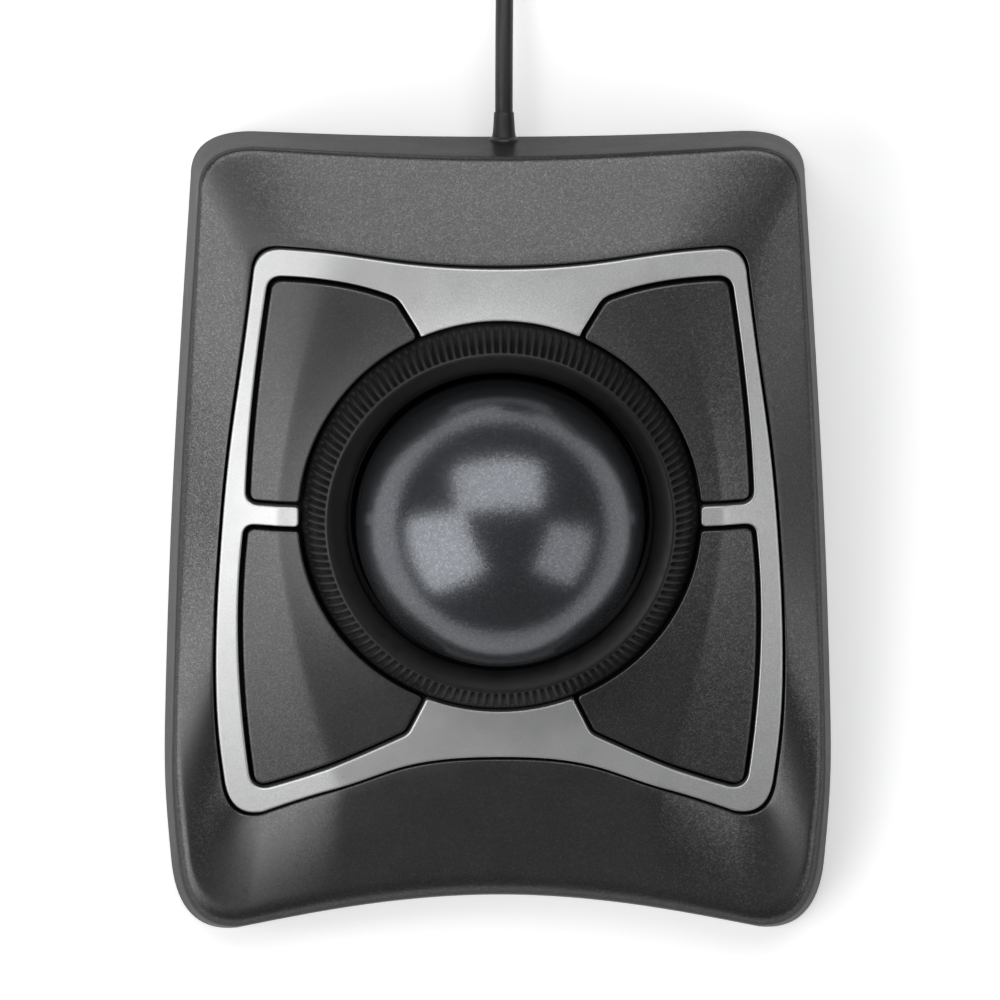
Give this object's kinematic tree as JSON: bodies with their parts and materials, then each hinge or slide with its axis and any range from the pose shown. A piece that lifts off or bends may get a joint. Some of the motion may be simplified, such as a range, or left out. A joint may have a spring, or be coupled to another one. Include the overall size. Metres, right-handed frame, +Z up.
{
  "type": "trackball mouse",
  "caption": "Finger-operated trackball mouse with a large ball in a turning scroll ring, hinged buttons around it, a silver frame and a tied USB cord.",
  "frame": {"origin": "on the table, under the middle of the housing", "axes": "+Z up, +Y to the rear where the cord leaves, +X to the user's right"},
  "size_m": [0.1338, 0.2584, 0.065],
  "materials": {
    "shell_paint": "graphite metallic paint with fine flake on moulded plastic",
    "frame_paint": "satin silver paint on moulded plastic",
    "base_plastic": "fine moulded grain",
    "button_paint": "dark graphite metallic paint, satin",
    "ring_plastic": "satin black",
    "inner_plastic": "plain moulded",
    "slippery_plastic": "natural acetal",
    "ball_resin": "polished dark grey resin with pearl flake",
    "bearing_ceramic": "polished ceramic bead",
    "circuit_board": "solder mask over glass fibre",
    "clear_plastic": "clear moulded",
    "steel": "zinc plated",
    "plug_metal": "nickel plated",
    "cord_rubber": "smooth soft vinyl",
    "foot_rubber": "matt",
    "label_film": "blank printed film"
  },
  "bodies": {
    "housing": {"ball_cup": "inner_plastic", "base_shell": "base_plastic", "bezel_frame": "frame_paint", "bezel_screws": "steel", "board_components": "inner_plastic", "board_screws": "steel", "button_carrier": "base_plastic", "button_hinge_pins": "steel", "cable_connector": "inner_plastic", "carrier_screws": "steel", "case_screws": "steel", "controller_chip": "inner_plastic", "cord_coil": "cord_rubber", "cord_lead": "cord_rubber", "cord_tail": "cord_rubber", "cord_tie": "cord_rubber", "cup_screws": "steel", "foot_front_left": "foot_rubber", "foot_front_right": "foot_rubber", "foot_rear_left": "foot_rubber", "foot_rear_right": "foot_rubber", "inner_lead": "cord_rubber", "main_board": "circuit_board", "ring_glide": "slippery_plastic", "scroll_board": "circuit_board", "scroll_sensor": "inner_plastic", "sensor_board": "circuit_board", "sensor_chip": "inner_plastic", "sensor_led": "clear_plastic", "sensor_lens": "clear_plastic", "sensor_ribbon": "circuit_board", "strain_relief": "cord_rubber", "support_bearings": "bearing_ceramic", "switch_board_left": "circuit_board", "switch_board_right": "circuit_board", "switch_front_left": "inner_plastic", "switch_front_right": "inner_plastic", "switch_rear_left": "inner_plastic", "switch_rear_right": "inner_plastic", "top_cover": "shell_paint", "underside_label": "label_film", "usb_plug_grip": "cord_rubber", "usb_plug_insert": "inner_plastic", "usb_plug_shell": "plug_metal"},
    "ball_body": {"ball": "ball_resin"},
    "ring_body": {"scroll_ring": "ring_plastic", "encoder_ring": "inner_plastic"},
    "button_rear_left_body": {"button_rear_left": "button_paint"},
    "plunger_rear_left_body": {"plunger_rear_left": "slippery_plastic"},
    "button_rear_right_body": {"button_rear_right": "button_paint"},
    "plunger_rear_right_body": {"plunger_rear_right": "slippery_plastic"},
    "button_front_left_body": {"button_front_left": "button_paint"},
    "plunger_front_left_body": {"plunger_front_left": "slippery_plastic"},
    "button_front_right_body": {"button_front_right": "button_paint"},
    "plunger_front_right_body": {"plunger_front_right": "slippery_plastic"}
  },
  "joints": [
    {"name": "ball_roll", "type": "hinge", "parent": "housing", "child": "ball_body", "pos_m": [0, 0.0059, 0.0375], "axis": [1, 0, 0], "continuous": true},
    {"name": "ring_spin", "type": "hinge", "parent": "housing", "child": "ring_body", "pos_m": [0, 0.0059, 0.0375], "axis": [0, -0.1305, 0.9914], "continuous": true},
    {"name": "button_rear_left_press", "type": "hinge", "parent": "housing", "child": "button_rear_left_body", "pos_m": [-0.035, 0.04796, 0.03214], "axis": [1, 0, 0], "range_deg": [0, 1], "stiffness_Nm_per_rad": 0.8, "springref_deg": -0.34},
    {"name": "plunger_rear_left_slide", "type": "slide", "parent": "housing", "child": "plunger_rear_left_body", "axis": [0, 0.1305, -0.9914], "range_m": [0, 0.0006]},
    {"name": "button_rear_right_press", "type": "hinge", "parent": "housing", "child": "button_rear_right_body", "pos_m": [0.035, 0.04796, 0.03214], "axis": [1, 0, 0], "range_deg": [0, 1], "stiffness_Nm_per_rad": 0.8, "springref_deg": -0.34},
    {"name": "plunger_rear_right_slide", "type": "slide", "parent": "housing", "child": "plunger_rear_right_body", "axis": [0, 0.1305, -0.9914], "range_m": [0, 0.0006]},
    {"name": "button_front_left_press", "type": "hinge", "parent": "housing", "child": "button_front_left_body", "pos_m": [-0.035, -0.03631, 0.02105], "axis": [-1, 0, 0], "range_deg": [0, 1], "stiffness_Nm_per_rad": 0.8, "springref_deg": -0.34},
    {"name": "plunger_front_left_slide", "type": "slide", "parent": "housing", "child": "plunger_front_left_body", "axis": [0, 0.1305, -0.9914], "range_m": [0, 0.0006]},
    {"name": "button_front_right_press", "type": "hinge", "parent": "housing", "child": "button_front_right_body", "pos_m": [0.035, -0.03631, 0.02105], "axis": [-1, 0, 0], "range_deg": [0, 1], "stiffness_Nm_per_rad": 0.8, "springref_deg": -0.34},
    {"name": "plunger_front_right_slide", "type": "slide", "parent": "housing", "child": "plunger_front_right_body", "axis": [0, 0.1305, -0.9914], "range_m": [0, 0.0006]}
  ],
  "couplings": [
    {"joint": "plunger_rear_left_slide", "follows": "button_rear_left_press", "m_per_rad": 0.027},
    {"joint": "plunger_rear_right_slide", "follows": "button_rear_right_press", "m_per_rad": 0.027},
    {"joint": "plunger_front_left_slide", "follows": "button_front_left_press", "m_per_rad": 0.03},
    {"joint": "plunger_front_right_slide", "follows": "button_front_right_press", "m_per_rad": 0.03}
  ]
}
